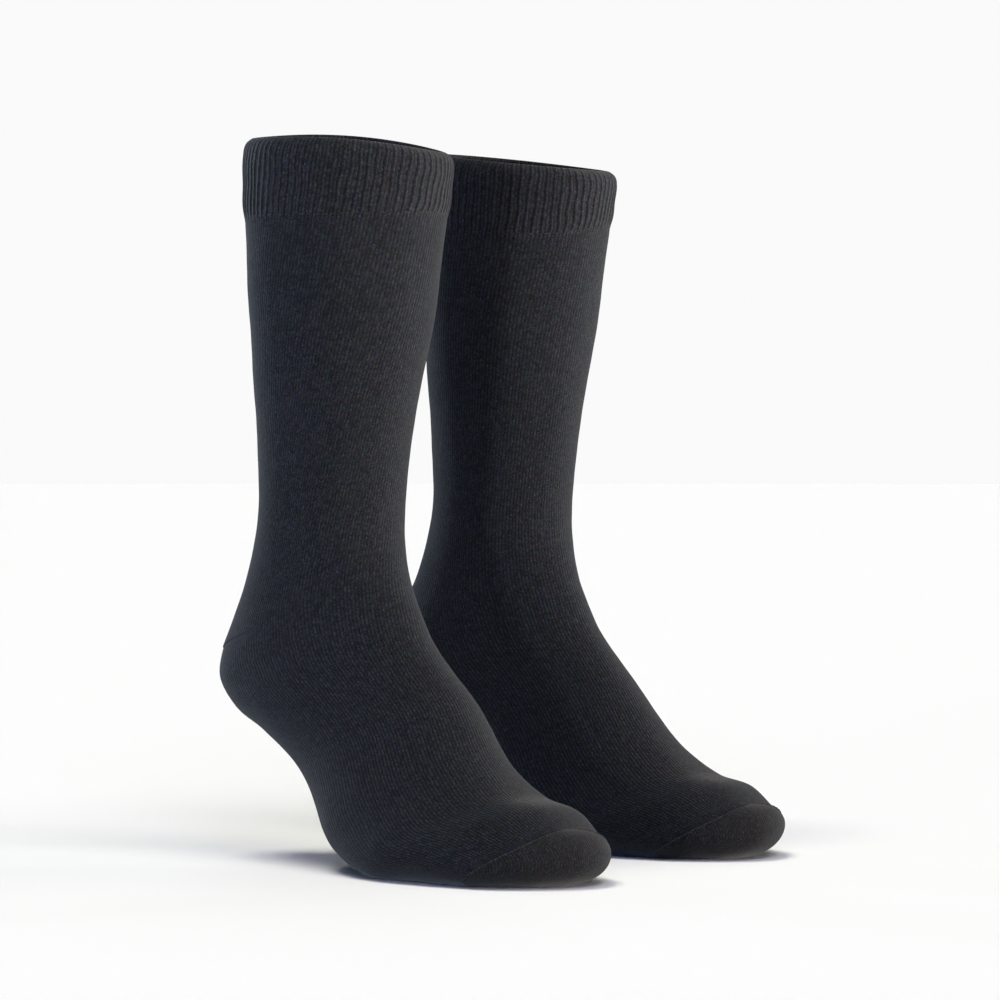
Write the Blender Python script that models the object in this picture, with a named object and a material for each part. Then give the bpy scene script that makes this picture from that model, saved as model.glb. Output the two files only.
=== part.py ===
"""A pair of plain knitted mid-calf socks, filled out as they are when worn, with the heels raised.

Each sock is one hollow tube, lofted down a line of tilted rings from the rim of the cuff to the toes.
It is parted where the knitting changes: ribbed cuff, leg, heel pocket, foot and toe pocket. Every part
is a wall of real thickness. The toes point to -Y and the right sock is the one at -X. The origin lies
midway between the two ankles, where the wearer's legs hold the pair.
"""

from collections import namedtuple
from math import radians

import bmesh
import bpy
import numpy as np

MM = 0.001

# ---- How the pair stands, in millimetres and degrees ----
ANKLE_HEIGHT = 150.0     # height of the origin over the floor
ANKLE_SPACING = 155.0    # from ankle to ankle, across
STAGGER = 32.5           # how far the right sock stands ahead of the left one
TOE_OUT = 2.75           # each foot turned outwards

# ---- The knitted wall, in millimetres ----
LEG_WALL = 1.4           # plain single knit of the leg and foot
POCKET_WALL = 1.6        # heel and toe, knitted with a second yarn
CUFF_WALL = 2.0          # double cuff, turned at its rim
SEAM_GAP = 0.3           # clear space between two parts that are joined
NOSE = (171.5, 5.5, 3.0)  # tip of the toe pocket: ahead of the ankle, height, inward
NOSE_TAPER = 0.54        # 0 starts the closing toe straight ahead, more narrows it from the start

# ---- How fine each part is lofted ----
RING_COLUMNS = 40
LEG_BANDS = 7
FOOT_BANDS = 9
HEEL_BANDS = 5
TOE_BANDS = 6
CUFF_RIBS = 76           # 1x1 rib on 152 needles
RIB_HEIGHT = 0.7

# The rings of the loft, in millimetres, from the rim down. back and front are the two ends of the
# ring's middle line, measured ahead of the ankle, with their heights over the floor. On the foot the
# back end is the sole. inward moves the ring towards the other foot, sole_swell widens its sole side,
# and square is 2 for an ellipse and more for a boxier ring. A sole below 0 is pressed flat on the floor.
Ring = namedtuple("Ring", "name back back_z front front_z half_width inward sole_swell square")
RINGS = (
    Ring("rim",       -38.5, 359.0,  61.5, 347.5, 52.0,  0.0, 0.0,  2.0),
    Ring("join",      -38.0, 314.5,  56.5, 315.5, 51.0,  0.0, 0.0,  2.0),
    Ring("calf",      -37.5, 263.5,  49.0, 263.0, 46.0,  0.0, 0.0,  2.0),
    Ring("shin",      -37.5, 215.0,  42.0, 221.0, 38.5, -0.7, 0.0,  2.0),
    Ring("ankle",     -38.0, 170.0,  37.0, 180.0, 35.5, -0.9, 0.0,  2.0),
    Ring("tendon",    -48.5, 138.0,  38.5, 158.0, 35.0, -0.7, 0.0,  2.0),
    Ring("heel_top",  -61.5, 117.5,  42.5, 144.5, 35.0, -0.2, 0.0,  2.0),
    Ring("gore",      -70.0, 102.5,  46.5, 135.5, 36.0,  0.4, 0.0,  2.0),
    Ring("heel",      -74.0,  90.5,  50.5, 128.0, 36.5,  0.7, 0.0,  2.0),
    Ring("heel_base", -63.5,  75.0,  57.5, 115.0, 37.0,  1.0, 0.0,  2.0),
    Ring("shank",     -40.0,  62.5,  70.5, 100.0, 37.0,  1.8, 0.0,  2.0),
    Ring("arch",      -14.0,  44.5,  86.0,  84.0, 38.0,  3.0, 0.0,  2.0),
    Ring("ball",       24.0,   6.0, 109.5,  55.5, 44.5,  0.6, 0.1,  2.1),
    Ring("tread",      54.0,  -3.0, 129.0,  42.0, 48.5, -0.1, 0.13, 2.2),
    Ring("toe_root",   92.0,  -3.0, 151.0,  36.5, 46.5, -0.2, 0.14, 2.2),
    Ring("toe_end",   124.0,  -3.0, 164.0,  27.5, 40.5, -0.3, 0.2,  2.15),
)
ROW = {ring.name: number for number, ring in enumerate(RINGS)}
TABLE = np.array([ring[1:] for ring in RINGS], dtype=float)
LAST_ROW = len(RINGS) - 1
NOSE_ROW = LAST_ROW + 1
MIDDLES = (TABLE[:, 0:2] + TABLE[:, 2:4]) / 2
STRIDES = np.linalg.norm(np.diff(MIDDLES, axis=0), axis=1)[:, None]  # from ring to ring
HEEL_ROWS = 2.2          # rings that the heel pocket takes up at the middle of the sole
HEEL_POINT = radians(87)  # angle where the pocket's two edges meet, on each side of the ankle

# How far the cloth stands above its ring at the four corners of each sock's rim and cuff join, by side
Corners = namedtuple("Corners", "back_left front_left front_right back_right")
RIM_LIFT = {-1: Corners(2.4, -0.6, 3.5, -1.2), 1: Corners(-1.8, -2.4, -1.6, -1.8)}
JOIN_LIFT = {-1: Corners(-0.4, 2.2, 0.2, 0.4), 1: Corners(-1.2, 2.8, -4.4, 3.2)}
BACK_LEFT = radians(45)  # angles of the first two corners
FRONT_LEFT = radians(135)

# The toe seam by ring number: it lies across the top of the toes and runs forward down both flanks,
# before it turns back to its ends beside the sole
SEAM_ROW = 15.0
SEAM_FORWARD = 0.13
SEAM_REACH = radians(118)  # from the top of the toes to each end of the seam

# The cuff's outer face above its join, as parts of its height and millimetres outside the leg's line
CuffLine = namedtuple("CuffLine", "up proud")
CUFF_LINE = (
    CuffLine(0.00, 0.3),
    CuffLine(0.06, 1.0),
    CuffLine(0.82, 1.0),
    CuffLine(0.95, -0.8),
    CuffLine(1.00, -4.2),
)
CUFF_INSIDE = (0, 2, 4)  # lines of the outer face that the plain inner face follows

# ---- Finishes: linear base colour and roughness ----
YARNS = {
    "cuff": ((0.022, 0.024, 0.029), 0.92),
    "leg": ((0.018, 0.020, 0.025), 0.90),
    "heel": ((0.020, 0.023, 0.028), 0.93),
    "foot": ((0.018, 0.020, 0.024), 0.90),
    "toe": ((0.021, 0.021, 0.023), 0.93),
}
METALLIC = 0.0

# ---- Mesh making ----
DERIVATIVE_STEP = 0.01   # rows or radians, for slopes
WELD = 0.005             # millimetres, joins the points that close the nose
SHARP_ANGLE = 50.0


def clear_scene():
    for thing in list(bpy.data.objects):
        bpy.data.objects.remove(thing, do_unlink=True)


def ring_slopes():
    """Change of each column for one millimetre down the sock, by the parabola through three rings."""
    rise = np.diff(TABLE, axis=0) / STRIDES
    inner = (rise[:-1] * STRIDES[1:] + rise[1:] * STRIDES[:-1]) / (STRIDES[1:] + STRIDES[:-1])
    return np.concatenate([rise[:1], inner, rise[-1:]])


def ring_values(row):
    """The table's columns at any row number, by a cubic between each two rings."""
    row = np.clip(row, 0.0, LAST_ROW)
    first = np.minimum(row.astype(int), LAST_ROW - 1)
    u = (row - first)[..., None]
    slopes = ring_slopes()
    leave = STRIDES[first] * slopes[first]
    arrive = STRIDES[first] * slopes[first + 1]
    change = TABLE[first + 1] - TABLE[first]
    bend = 3 * change - 2 * leave - arrive
    twist = leave + arrive - 2 * change
    values = TABLE[first] + u * (leave + u * (bend + u * twist))
    return np.moveaxis(values, -1, 0)


def squared(wave, square):
    """A sine or cosine pushed outwards, so that the ring is a superellipse."""
    return np.sign(wave) * np.abs(wave) ** (2.0 / square)


def eased(share):
    """0 below 0, 1 above 1, and an S-curve between."""
    share = np.clip(share, 0.0, 1.0)
    return share * share * (3 - 2 * share)


def around_corners(corners, angle):
    """A smooth wave round the ring through the values at its four corners."""
    back_left, front_left, front_right, back_right = corners
    return (
        sum(corners) / 4
        + (back_left - front_right) / 2 * np.cos(angle - BACK_LEFT)
        + (front_left - back_right) / 2 * np.cos(angle - FRONT_LEFT)
        + (back_left - front_left + front_right - back_right) / 4 * np.cos(2 * (angle - BACK_LEFT))
    )


def lift(row, angle, side):
    """How far the cloth stands above its ring: all of it is gone at the calf ring."""
    below_rim, below_join = eased(row), eased(row - ROW["join"])
    rim = around_corners(RIM_LIFT[side], angle) * (1 - below_rim)
    return rim + around_corners(JOIN_LIFT[side], angle) * (below_rim - below_join)


def toe_seam(angle):
    """Ring number of the toe seam at each angle, a half sine down each flank."""
    from_top = np.minimum(np.abs(angle - np.pi) / SEAM_REACH, 1.0)
    return SEAM_ROW + SEAM_FORWARD * np.sin(np.pi * from_top)


def skin(row, angle, side):
    """The sock's outer face: the ring at a row number, at an angle from its back (0) round to its front.

    Past the last ring, the toe end, the rings shrink about a middle that runs on to the nose, like the
    slices of half an ellipsoid, which closes the toe.
    """
    back, back_z, front, front_z, half_width, inward, sole_swell, square = ring_values(row)
    run = np.sin(np.clip(row - LAST_ROW, 0.0, 1.0) * np.pi / 2)
    shrink = np.sqrt(np.maximum(1.0 - NOSE_TAPER * run - (1.0 - NOSE_TAPER) * run ** 2, 0.0))
    across = squared(np.sin(angle), square)
    along = squared(np.cos(angle), square)
    middle = (back + front) / 2
    middle_z = (back_z + front_z) / 2
    ahead = middle + run * (NOSE[0] - middle) + shrink * along * (back - front) / 2
    height = middle_z + run ** 2 * (NOSE[1] - middle_z) + shrink * along * (back_z - front_z) / 2
    height = height + lift(row, angle, side)
    inward = inward + run ** 2 * (NOSE[2] - inward)
    x = side * -inward + shrink * half_width * across * (1 + sole_swell * along)
    return np.stack([x, -ahead, height], axis=-1)


def skin_slopes(row, angle, side):
    """Change of the outer face for one row, and for one radian round the ring."""
    row = np.minimum(row, NOSE_ROW - 2 * DERIVATIVE_STEP)
    step = DERIVATIVE_STEP
    down = (skin(row + step, angle, side) - skin(row - step, angle, side)) / (2 * step)
    around = (skin(row, angle + step, side) - skin(row, angle - step, side)) / (2 * step)
    return down, around


def outward(row, angle, side):
    """Unit normals of the outer face."""
    down, around = skin_slopes(row, angle, side)
    normal = np.cross(around, down)
    return normal / np.linalg.norm(normal, axis=-1, keepdims=True)


def moved_off(edge, angle, side, distance):
    """The row numbers of a line a short distance in millimetres below an edge, square to the edge."""
    down, around = skin_slopes(edge, angle, side)
    along = around + down * np.gradient(edge, angle)[:, None]
    along = along / np.linalg.norm(along, axis=-1, keepdims=True)
    square = down - along * np.sum(along * down, axis=-1, keepdims=True)
    return edge + distance / np.linalg.norm(square, axis=-1)


def wall_faces(outer_rows, inner_rows, columns, is_ring, has_end):
    """Quads of a wall whose rows of points go down its outer face and back up its inner face.

    Each row joins the next, and the last one the first. A wall that is no ring is closed at both sides.
    """
    number = np.arange((outer_rows + inner_rows) * columns).reshape(-1, columns)
    if is_ring:
        number = np.concatenate([number, number[:, :1]], axis=1)
    here, below = number, np.roll(number, -1, axis=0)
    if not has_end:
        here, below = np.delete(here, outer_rows - 1, axis=0), np.delete(below, outer_rows - 1, axis=0)
    strips = [(here[:, :-1], below[:, :-1], below[:, 1:], here[:, 1:])]
    if not is_ring:
        outer, inner = number[:outer_rows], number[outer_rows:][::-1]
        strips.append((outer[:-1, 0], inner[:-1, 0], inner[1:, 0], outer[1:, 0]))
        strips.append((outer[:-1, -1], outer[1:, -1], inner[1:, -1], inner[:-1, -1]))
    return np.concatenate([np.stack(strip, axis=-1).reshape(-1, 4) for strip in strips])


def yarn_material(name, yarn):
    """Dull knitted yarn of one colour."""
    colour, roughness = YARNS[yarn]
    material = bpy.data.materials.new(name + "_yarn")
    material.use_nodes = True
    shader = material.node_tree.nodes["Principled BSDF"]
    shader.inputs["Base Color"].default_value = (*colour, 1.0)
    shader.inputs["Roughness"].default_value = roughness
    shader.inputs["Metallic"].default_value = METALLIC
    return material


def knit_wall(name, yarn, outer, inner, wall, is_ring=True, has_end=True):
    """One knitted part: the wall between two grids of points in millimetres, pressed on the floor.

    Without an end, the last row of each grid is one point, where the part closes.
    """
    outer[..., 2] = np.maximum(outer[..., 2], 0.0)
    inner[..., 2] = np.maximum(inner[..., 2], wall)
    if not has_end:
        outer[-1] = outer[-1].mean(axis=0)
        inner[-1] = inner[-1].mean(axis=0)
    points = np.concatenate([outer, inner[::-1]]).reshape(-1, 3) * MM
    faces = wall_faces(len(outer), len(inner), outer.shape[1], is_ring, has_end)
    mesh = bpy.data.meshes.new(name)
    mesh.from_pydata(points.tolist(), [], faces.tolist())
    shape = bmesh.new()
    shape.from_mesh(mesh)
    bmesh.ops.remove_doubles(shape, verts=shape.verts, dist=WELD * MM)
    bmesh.ops.recalc_face_normals(shape, faces=shape.faces)
    shape.to_mesh(mesh)
    shape.free()
    mesh.shade_smooth()
    mesh.set_sharp_from_angle(angle=radians(SHARP_ANGLE))
    part = bpy.data.objects.new(name, mesh)
    part.data.materials.append(yarn_material(name, yarn))
    return part


def panel(name, yarn, side, angle, start, end, bands, wall, is_ring=True, has_end=True):
    """A plain part from the ring numbers start to end, which may differ at each angle round the sock.

    Two parts that meet share the normals along their seam, so the gap is as wide inside as outside.
    """
    share = np.linspace(0.0, 1.0, bands + 1)[:, None]
    row = start + (end - start) * share
    first = moved_off(start, angle, side, SEAM_GAP / 2)
    last = moved_off(end, angle, side, -SEAM_GAP / 2) if has_end else end
    angle = np.broadcast_to(angle, row.shape)
    outer = skin(first + (last - first) * share, angle, side)
    inner = outer - wall * outward(row, angle, side)
    return knit_wall(name, yarn, outer, inner, wall, is_ring, has_end)


def ring_angles(columns):
    return np.linspace(0.0, 2 * np.pi, columns, endpoint=False)


def sole_edge(angle):
    """Ring number where the foot starts: below the heel pocket behind, at the gore ring in front."""
    return ROW["gore"] + HEEL_ROWS * np.maximum(np.cos(angle), 0.0)


def cuff(side, name):
    """Ribbed double cuff: a rib on every second point of the outer face, over a plain inner face."""
    angle = ring_angles(2 * CUFF_RIBS)
    up = np.array([line.up for line in CUFF_LINE])[::-1, None]
    proud = np.array([line.proud for line in CUFF_LINE])[::-1, None]
    join = moved_off(np.full(angle.shape, float(ROW["join"])), angle, side, -SEAM_GAP / 2)
    row = join * (1 - up)
    angle = np.broadcast_to(angle, row.shape)
    face = skin(row, angle, side)
    normal = outward(row, angle, side)
    rib = RIB_HEIGHT * (np.arange(2 * CUFF_RIBS) % 2)
    outer = face + normal * (proud + rib)[..., None]
    inner = face + normal * (proud - CUFF_WALL)[..., None]
    return knit_wall(name, "cuff", outer, inner[list(CUFF_INSIDE)], CUFF_WALL)


def leg(side, name):
    angle = ring_angles(RING_COLUMNS)
    start = np.full(angle.shape, float(ROW["join"]))
    end = np.full(angle.shape, float(ROW["gore"]))
    return panel(name, "leg", side, angle, start, end, LEG_BANDS, LEG_WALL)


def heel(side, name):
    """Pocket of short courses: a lens on the back half of the rings, drawn to a point on each side."""
    column = 2 * np.pi / RING_COLUMNS
    count = RING_COLUMNS // 4 - 1
    inside = np.arange(-count, count + 1) * column
    angle = np.concatenate([[-HEEL_POINT], inside, [HEEL_POINT]])
    start = np.full(angle.shape, float(ROW["gore"]))
    return panel(name, "heel", side, angle, start, sole_edge(angle), HEEL_BANDS, POCKET_WALL, is_ring=False)


def foot(side, name):
    angle = ring_angles(RING_COLUMNS)
    return panel(name, "foot", side, angle, sole_edge(angle), toe_seam(angle), FOOT_BANDS, LEG_WALL)


def toe(side, name):
    """Pocket that closes the sock, from the slanting seam to the nose."""
    angle = ring_angles(RING_COLUMNS)
    end = np.full(angle.shape, float(NOSE_ROW))
    return panel(name, "toe", side, angle, toe_seam(angle), end, TOE_BANDS, POCKET_WALL, has_end=False)


def sock(collection, name, side):
    """One sock on an empty that stands it in the pair. side is -1 for the right foot, 1 for the left."""
    stand = bpy.data.objects.new(name + "_sock", None)
    stand.location = (side * ANKLE_SPACING / 2 * MM, side * STAGGER / 2 * MM, -ANKLE_HEIGHT * MM)
    stand.rotation_euler = (0.0, 0.0, side * radians(TOE_OUT))
    collection.objects.link(stand)
    for make in (cuff, leg, heel, foot, toe):
        part = make(side, name + "_" + make.__name__)
        part.parent = stand
        collection.objects.link(part)


clear_scene()
pair = bpy.data.collections.new("pair_of_socks")
bpy.context.scene.collection.children.link(pair)
sock(pair, "right", -1)
sock(pair, "left", 1)
bpy.context.view_layer.update()
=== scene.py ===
"""A pair of plain mid-calf socks, fine-knitted in charcoal yarn, filled out on raised heels."""

from collections import namedtuple

import bmesh
import bpy
import numpy as np
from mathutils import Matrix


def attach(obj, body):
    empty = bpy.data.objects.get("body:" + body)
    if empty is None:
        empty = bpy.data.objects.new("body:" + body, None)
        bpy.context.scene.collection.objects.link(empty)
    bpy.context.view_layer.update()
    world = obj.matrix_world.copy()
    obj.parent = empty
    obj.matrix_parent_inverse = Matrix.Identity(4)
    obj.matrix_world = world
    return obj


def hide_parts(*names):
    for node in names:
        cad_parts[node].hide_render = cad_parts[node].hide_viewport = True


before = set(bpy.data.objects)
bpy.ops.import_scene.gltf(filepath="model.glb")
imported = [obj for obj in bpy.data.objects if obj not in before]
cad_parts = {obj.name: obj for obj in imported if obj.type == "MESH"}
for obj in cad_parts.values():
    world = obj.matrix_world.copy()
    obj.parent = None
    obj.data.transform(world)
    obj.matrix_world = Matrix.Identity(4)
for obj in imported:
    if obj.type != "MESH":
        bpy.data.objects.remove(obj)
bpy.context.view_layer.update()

# ---- Ribbed cuffs ----
# The double cuff is knitted first, in 1x1 rib on 152 needles, so 76 raised ribs stand round it. It is
# folded over at the rim, and the leg is knitted straight on from its lower edge.

MM = 0.001               # sizes are in millimetres until they are set in the scene
SIDES = {"right": -1, "left": 1}
ANKLE_HEIGHT = 150.0     # height of the origin over the floor
ANKLE_SPACING = 155.0
STAGGER = 32.5           # how far the right sock stands ahead of the left one
TOE_OUT = 2.75           # degrees
WALES = 152              # columns of loops round the sock
FRONT_WALE = 76          # the wale down the middle of the instep; wale 0 runs down the back and the sole
SIDE_WALES = 38          # from the front to each side, and from there to the back
COURSE = 1.25            # height of one course of loops
DERIVATIVE_STEP = 0.01   # of a ring and of a radian
WELD = 0.004             # points nearer to each other than this become one
CUT_EDGE = np.radians(60)   # the cloth is shaded smooth up to edges sharper than this

# The rings that the sock is lofted through, in millimetres: ahead of the ankle and over the floor
Ring = namedtuple("Ring", "name back back_z front front_z half_width inward sole_swell square")
RINGS = (
    Ring("rim",       -38.5, 359.0,  61.5, 347.5, 52.0,  0.0, 0.0,  2.0),
    Ring("join",      -38.0, 314.5,  56.5, 315.5, 51.0,  0.0, 0.0,  2.0),
    Ring("calf",      -37.5, 263.5,  49.0, 263.0, 46.0,  0.0, 0.0,  2.0),
    Ring("shin",      -37.5, 215.0,  42.0, 221.0, 38.5, -0.7, 0.0,  2.0),
    Ring("ankle",     -38.0, 170.0,  37.0, 180.0, 35.5, -0.9, 0.0,  2.0),
    Ring("tendon",    -48.5, 138.0,  38.5, 158.0, 35.0, -0.7, 0.0,  2.0),
    Ring("heel_top",  -61.5, 117.5,  42.5, 144.5, 35.0, -0.2, 0.0,  2.0),
    Ring("gore",      -70.0, 102.5,  46.5, 135.5, 36.0,  0.4, 0.0,  2.0),
    Ring("heel",      -74.0,  90.5,  50.5, 128.0, 36.5,  0.7, 0.0,  2.0),
    Ring("heel_base", -63.5,  75.0,  57.5, 115.0, 37.0,  1.0, 0.0,  2.0),
    Ring("shank",     -40.0,  62.5,  70.5, 100.0, 37.0,  1.8, 0.0,  2.0),
    Ring("arch",      -14.0,  44.5,  86.0,  84.0, 38.0,  3.0, 0.0,  2.0),
    Ring("ball",       24.0,   6.0, 109.5,  55.5, 44.5,  0.6, 0.1,  2.1),
    Ring("tread",      54.0,  -3.0, 129.0,  42.0, 48.5, -0.1, 0.13, 2.2),
    Ring("toe_root",   92.0,  -3.0, 151.0,  36.5, 46.5, -0.2, 0.14, 2.2),
    Ring("toe_end",   124.0,  -3.0, 164.0,  27.5, 40.5, -0.3, 0.2,  2.15),
)
ROW = {ring.name: number for number, ring in enumerate(RINGS)}
ROWS = np.arange(len(RINGS), dtype=float)
TABLE = np.array([ring[1:] for ring in RINGS], dtype=float)
MIDDLES = (TABLE[:, 0:2] + TABLE[:, 2:4]) / 2
DEPTHS = np.concatenate([[0.0], np.cumsum(np.linalg.norm(np.diff(MIDDLES, axis=0), axis=1))])
LAST_ROW = len(RINGS) - 1
NOSE = (171.5, 5.5, 3.0)  # tip of the toe: ahead of the ankle, height, inward
NOSE_TAPER = 0.54        # 0 starts the closing toe straight ahead, more narrows it from the start

# How far the cloth stands above its ring at the four corners of each sock's rim and cuff join
Corners = namedtuple("Corners", "back_left front_left front_right back_right")
RIM_LIFT = {-1: Corners(2.4, -0.6, 3.5, -1.2), 1: Corners(-1.8, -2.4, -1.6, -1.8)}
JOIN_LIFT = {-1: Corners(-0.4, 2.2, 0.2, 0.4), 1: Corners(-1.2, 2.8, -4.4, 3.2)}
BACK_LEFT = np.radians(45)  # angles of the first two corners
FRONT_LEFT = np.radians(135)

# How the knitting lies on the sock: radians that its wales are turned round each sock, and how much more
# than a quarter of the ring each side of the instep takes up
Lie = namedtuple("Lie", "ring right_turn left_turn instep_gain")
LIES = (
    Lie("rim",      1.32, 0.68,  0.01),
    Lie("join",     1.25, 0.65,  0.01),
    Lie("calf",     1.04, 0.50,  0.01),
    Lie("shin",     0.87, 0.46,  0.02),
    Lie("ankle",    0.73, 0.46,  0.035),
    Lie("heel_top", 0.50, 0.48,  0.035),
    Lie("heel",     0.36, 0.44,  0.01),
    Lie("shank",    0.21, 0.32, -0.01),
    Lie("ball",     0.11, 0.16, -0.02),
    Lie("toe_root", 0.01, 0.03,  0.0),
    Lie("toe_end",  0.0,  0.0,   0.01),
)
LIE_ROWS = np.array([float(ROW[lie.ring]) for lie in LIES])
LIE_TABLE = np.array([lie[1:] for lie in LIES])
DEGREES = np.radians(np.arange(361.0))

# Waves of the filled cloth: radians for each millimetre to the left, backwards and up, and where they start
Wave = namedtuple("Wave", "left back up start")
WAVES = (
    Wave(0.131, 0.083, -0.117, 0.0),
    Wave(0.000, 0.094,  0.151, 1.3),
    Wave(0.270, 0.000, -0.210, 0.7),
    Wave(0.000, 0.190,  0.230, 0.0),
)
SWELL = 0.1              # height of each of the first two waves
CROSSED = 0.6            # height of the crossed pair, as a part of that


def through(knots, values, at):
    """A smooth curve through values at the knots.

    Between two knots it is a cubic. At a knot its slope is that of the parabola through the knot and
    its two neighbours.
    """
    gaps = np.diff(knots)[:, None]
    rise = np.diff(values, axis=0) / gaps
    inner = (rise[:-1] * gaps[1:] + rise[1:] * gaps[:-1]) / (gaps[1:] + gaps[:-1])
    slopes = np.concatenate([rise[:1], inner, rise[-1:]])
    first = np.clip(np.searchsorted(knots, at, side="right") - 1, 0, len(gaps) - 1)
    u = ((at - knots[first]) / gaps[first, 0])[..., None]
    leave = gaps[first] * slopes[first]
    arrive = gaps[first] * slopes[first + 1]
    change = values[first + 1] - values[first]
    bend = 3 * change - 2 * leave - arrive
    twist = leave + arrive - 2 * change
    return np.moveaxis(values[first] + u * (leave + u * (bend + u * twist)), -1, 0)


def eased(share):
    """0 below 0, 1 above 1, and the S-curve 3s^2 - 2s^3 between."""
    s = np.clip(share, 0.0, 1.0)
    return s * s * (3 - 2 * s)


def squared(wave, square):
    """A sine or cosine to the power 2/square, with its sign, which makes the ring a superellipse."""
    return np.sign(wave) * np.abs(wave) ** (2.0 / square)


def around_corners(corners, angle):
    """A wave round the ring through its values at four corners.

    It is their mean, plus a cosine of the angle for each diagonal, plus a cosine of twice the angle that
    tells one diagonal pair from the other.
    """
    back_left, front_left, front_right, back_right = corners
    wave = sum(corners) / 4
    wave = wave + (back_left - front_right) / 2 * np.cos(angle - BACK_LEFT)
    wave = wave + (front_left - back_right) / 2 * np.cos(angle - FRONT_LEFT)
    crossed_over = back_left - front_left + front_right - back_right
    return wave + crossed_over / 4 * np.cos(2 * (angle - BACK_LEFT))


def narrowed(run):
    """How wide a slice of the toe is once it has run this share of the way to the nose.

    It is the root of 1 - taper * run - (1 - taper) * run^2.
    """
    return np.sqrt(np.maximum(1.0 - NOSE_TAPER * run - (1.0 - NOSE_TAPER) * run ** 2, 0.0))


def slice_face(values, run, shrink, across, along, side):
    """A point of the ring with these table values, run on towards the nose and shrunk about its middle.

    It is the ring's middle, plus along times half its line from front to back, plus across times its
    half width.
    """
    back, back_z, front, front_z, half_width, inward, sole_swell, _ = values
    middle = (back + front) / 2
    middle_z = (back_z + front_z) / 2
    ahead = middle + run * (NOSE[0] - middle) + shrink * along * (back - front) / 2
    height = middle_z + run ** 2 * (NOSE[1] - middle_z) + shrink * along * (back_z - front_z) / 2
    drawn_in = inward + run ** 2 * (NOSE[2] - inward)
    x = side * -drawn_in + shrink * half_width * across * (1 + sole_swell * along)
    return np.stack([x, -ahead, height], axis=-1)


def sock_face(row, angle, side):
    """The outer face in millimetres: the ring at a row number, at an angle from its back round its side.

    Past the toe end the rings run on to the nose along a quarter sine and shrink. The rim and the cuff's
    join are lifted at their corners, and the lift fades out down to the calf.
    """
    row, angle = np.broadcast_arrays(row, angle)
    values = through(DEPTHS, TABLE, np.interp(row, ROWS, DEPTHS))
    run = np.sin(np.clip(row - LAST_ROW, 0.0, 1.0) * np.pi / 2)
    across = squared(np.sin(angle), values[-1])
    along = squared(np.cos(angle), values[-1])
    points = slice_face(values, run, narrowed(run), across, along, side)
    below_rim, below_join = eased(row), eased(row - ROW["join"])
    points[..., 2] += around_corners(RIM_LIFT[side], angle) * (1 - below_rim)
    points[..., 2] += around_corners(JOIN_LIFT[side], angle) * (below_rim - below_join)
    return points


def unit(vectors):
    return vectors / np.maximum(np.linalg.norm(vectors, axis=-1, keepdims=True), 1e-9)


def outward(row, angle, side):
    """The face's outward direction, from the slopes of sock_face by central differences."""
    step = DERIVATIVE_STEP
    down = sock_face(row + step, angle, side) - sock_face(np.maximum(row - step, 0.0), angle, side)
    around = sock_face(row, angle + step, side) - sock_face(row, angle - step, side)
    return unit(np.cross(around, down))


def rows_between(first, last, spacing):
    """Row numbers from first to last, evenly spaced in millimetres down the sock's middle line."""
    start, end = np.interp([first, last], ROWS, DEPTHS)
    count = int(np.ceil((end - start) / spacing))
    return np.interp(np.linspace(start, end, count + 1), DEPTHS, ROWS)


def outline_shares(row, side):
    """How much of each ring's outline lies before each whole degree, from 0 to 1."""
    outline = sock_face(row[:, None], DEGREES[None, :], side)
    passed = np.cumsum(np.linalg.norm(np.diff(outline, axis=1), axis=-1), axis=1)
    return np.pad(passed, ((0, 0), (1, 0))) / passed[:, -1:]


def angles_at(row, share, side):
    """The angles at given shares of each ring's outline, a row of them for each ring."""
    share = np.broadcast_to(share, (len(row), np.shape(share)[-1]))
    return np.stack([np.interp(s, passed, DEGREES) for s, passed in zip(share, outline_shares(row, side))])


def lie(row, name):
    """The turn of the wales, and the part of the ring that each side of the instep takes up."""
    right_turn, left_turn, gain = through(LIE_ROWS, LIE_TABLE, np.clip(row, 0.0, LAST_ROW))
    return {"right": right_turn, "left": left_turn}[name], 0.25 + gain


def wale_angles(row, wale, name):
    """The angle of every wale on every ring: its share of the outline, turned by the knitting's turn."""
    turn, instep = lie(row[:, None], name)
    off_front = (wale - FRONT_WALE) / SIDE_WALES
    near = np.minimum(np.abs(off_front), 1.0)
    share = 0.5 + np.sign(off_front) * (near * instep + (np.abs(off_front) - near) * (0.5 - instep))
    return angles_at(row, share, SIDES[name]) - turn


def unevenness(points):
    """Slow swells of the filled cloth: the sum of two sine waves and of the product of two shorter ones."""
    x, y, z = np.moveaxis(points, -1, 0)
    first, second, third, fourth = [np.sin(w.left * x + w.back * y + w.up * z + w.start) for w in WAVES]
    return SWELL * (first + second + CROSSED * third * fourth)


def standing(points, name, floor=0.0):
    """The sock's own millimetres, pressed flat on the floor and set toe-out beside its mate, in metres."""
    side = SIDES[name]
    turn = side * np.radians(TOE_OUT)
    x, y, z = np.moveaxis(points, -1, 0)
    placed = [
        x * np.cos(turn) - y * np.sin(turn) + side * ANKLE_SPACING / 2,
        x * np.sin(turn) + y * np.cos(turn) + side * STAGGER / 2,
        np.maximum(z, floor) - ANKLE_HEIGHT,
    ]
    return np.stack(placed, axis=-1) * MM


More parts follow.
